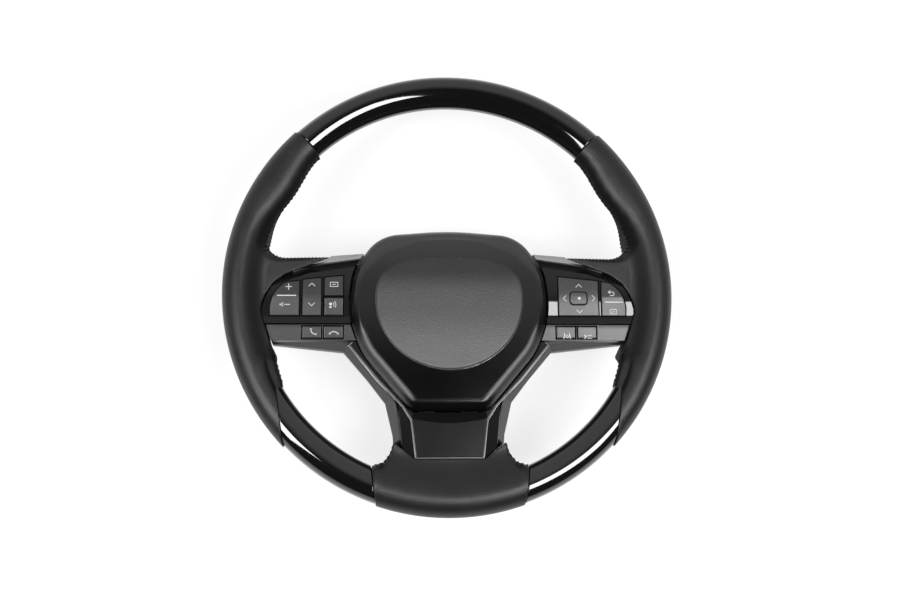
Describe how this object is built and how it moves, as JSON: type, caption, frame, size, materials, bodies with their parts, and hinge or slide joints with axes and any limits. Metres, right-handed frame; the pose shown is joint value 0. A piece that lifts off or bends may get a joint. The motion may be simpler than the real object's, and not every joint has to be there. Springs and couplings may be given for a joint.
{
  "type": "car steering wheel",
  "caption": "Car steering wheel with leather grips, gloss black rim segments, switch pods on the side spokes and a sprung airbag pad that sounds the horn.",
  "frame": {"origin": "centre of the column bore on the rear seat of the hub boss", "axes": "+Z towards the driver along the column, +Y to 12 o'clock, +X to the driver's right"},
  "size_m": [0.375, 0.3737, 0.104],
  "materials": {
    "armature": "die cast",
    "leather": "matte, fine grain",
    "gloss_black": "piano black",
    "cover_plastic": "fine texture",
    "steel": "zinc plated",
    "pad_skin": "soft, leather grain",
    "airbag_cloth": "woven",
    "bush_plastic": "smooth",
    "panel_plastic": "satin",
    "housing_plastic": "plain",
    "board": "coated",
    "dome_mat": "matte",
    "key_plastic": "satin",
    "bright_line": "satin"
  },
  "bodies": {
    "wheel": {"armature": "armature", "left_grip": "leather", "right_grip": "leather", "bottom_grip": "leather", "top_trim_front": "gloss_black", "top_trim_rear": "gloss_black", "left_trim_front": "gloss_black", "left_trim_rear": "gloss_black", "right_trim_front": "gloss_black", "right_trim_rear": "gloss_black", "left_bezel": "gloss_black", "right_bezel": "gloss_black", "lower_spoke_bezel": "gloss_black", "rear_cover": "cover_plastic", "rim_core": "steel", "rear_cover_screws": "steel", "horn_springs": "steel", "horn_guide_bushes": "bush_plastic", "left_lower_panel": "panel_plastic", "right_lower_panel": "panel_plastic", "lower_spoke_insert": "panel_plastic", "left_switch_housing": "housing_plastic", "right_switch_housing": "housing_plastic", "left_switch_board": "board", "right_switch_board": "board", "left_key_mat": "dome_mat", "right_key_mat": "dome_mat", "lower_spoke_strip": "bright_line"},
    "horn_pad": {"airbag_cover": "pad_skin", "airbag_base_plate": "steel", "airbag_inflator": "steel", "folded_airbag": "airbag_cloth", "horn_guide_pins": "steel"},
    "volume_rocker": {"volume_rocker": "key_plastic"},
    "seek_rocker": {"seek_rocker": "key_plastic"},
    "back_rocker": {"back_rocker": "key_plastic"},
    "cursor_gimbal": {"cursor_gimbal": "bush_plastic"},
    "cursor_key": {"cursor_key": "key_plastic"},
    "ok_button": {"ok_button": "key_plastic"},
    "mode_button": {"mode_button": "key_plastic"},
    "voice_button": {"voice_button": "key_plastic"},
    "call_button": {"call_button": "key_plastic"},
    "hangup_button": {"hangup_button": "key_plastic"},
    "lane_button": {"lane_button": "key_plastic"},
    "distance_button": {"distance_button": "key_plastic"}
  },
  "joints": [
    {"name": "horn_press", "type": "slide", "parent": "wheel", "child": "horn_pad", "axis": [0, 0, -1], "range_m": [0, 0.0025], "stiffness_N_per_m": 12000, "springref_m": -0.0025, "deforming": ["horn_springs"]},
    {"name": "volume_rock", "type": "hinge", "parent": "wheel", "child": "volume_rocker", "pos_m": [-0.1345, -0.0076, 0.064], "axis": [1, 0, 0], "range_deg": [-3, 3], "stiffness_Nm_per_rad": 0.45},
    {"name": "seek_rock", "type": "hinge", "parent": "wheel", "child": "seek_rocker", "pos_m": [-0.1135, -0.0076, 0.064], "axis": [1, 0, 0], "range_deg": [-3, 3], "stiffness_Nm_per_rad": 0.45},
    {"name": "back_rock", "type": "hinge", "parent": "wheel", "child": "back_rocker", "pos_m": [0.138, -0.0076, 0.064], "axis": [1, 0, 0], "range_deg": [-3, 3], "stiffness_Nm_per_rad": 0.45},
    {"name": "cursor_tilt", "type": "hinge", "parent": "wheel", "child": "cursor_gimbal", "pos_m": [0.1085, -0.0076, 0.064], "axis": [1, 0, 0], "range_deg": [-3, 3], "stiffness_Nm_per_rad": 0.45},
    {"name": "cursor_sway", "type": "hinge", "parent": "cursor_gimbal", "child": "cursor_key", "pos_m": [0.1085, -0.0076, 0.064], "axis": [0, 1, 0], "range_deg": [-3, 3], "stiffness_Nm_per_rad": 0.45},
    {"name": "ok_press", "type": "slide", "parent": "cursor_key", "child": "ok_button", "axis": [0, 0, -1], "range_m": [0, 0.001], "stiffness_N_per_m": 1500, "springref_m": -0.0008},
    {"name": "mode_press", "type": "slide", "parent": "wheel", "child": "mode_button", "axis": [0, 0, -1], "range_m": [0, 0.001], "stiffness_N_per_m": 1500, "springref_m": -0.0008},
    {"name": "voice_press", "type": "slide", "parent": "wheel", "child": "voice_button", "axis": [0, 0, -1], "range_m": [0, 0.001], "stiffness_N_per_m": 1500, "springref_m": -0.0008},
    {"name": "call_press", "type": "slide", "parent": "wheel", "child": "call_button", "axis": [0, 0, -1], "range_m": [0, 0.001], "stiffness_N_per_m": 1500, "springref_m": -0.0008},
    {"name": "hangup_press", "type": "slide", "parent": "wheel", "child": "hangup_button", "axis": [0, 0, -1], "range_m": [0, 0.001], "stiffness_N_per_m": 1500, "springref_m": -0.0008},
    {"name": "lane_press", "type": "slide", "parent": "wheel", "child": "lane_button", "axis": [0, 0, -1], "range_m": [0, 0.001], "stiffness_N_per_m": 1500, "springref_m": -0.0008},
    {"name": "distance_press", "type": "slide", "parent": "wheel", "child": "distance_button", "axis": [0, 0, -1], "range_m": [0, 0.001], "stiffness_N_per_m": 1500, "springref_m": -0.0008}
  ]
}
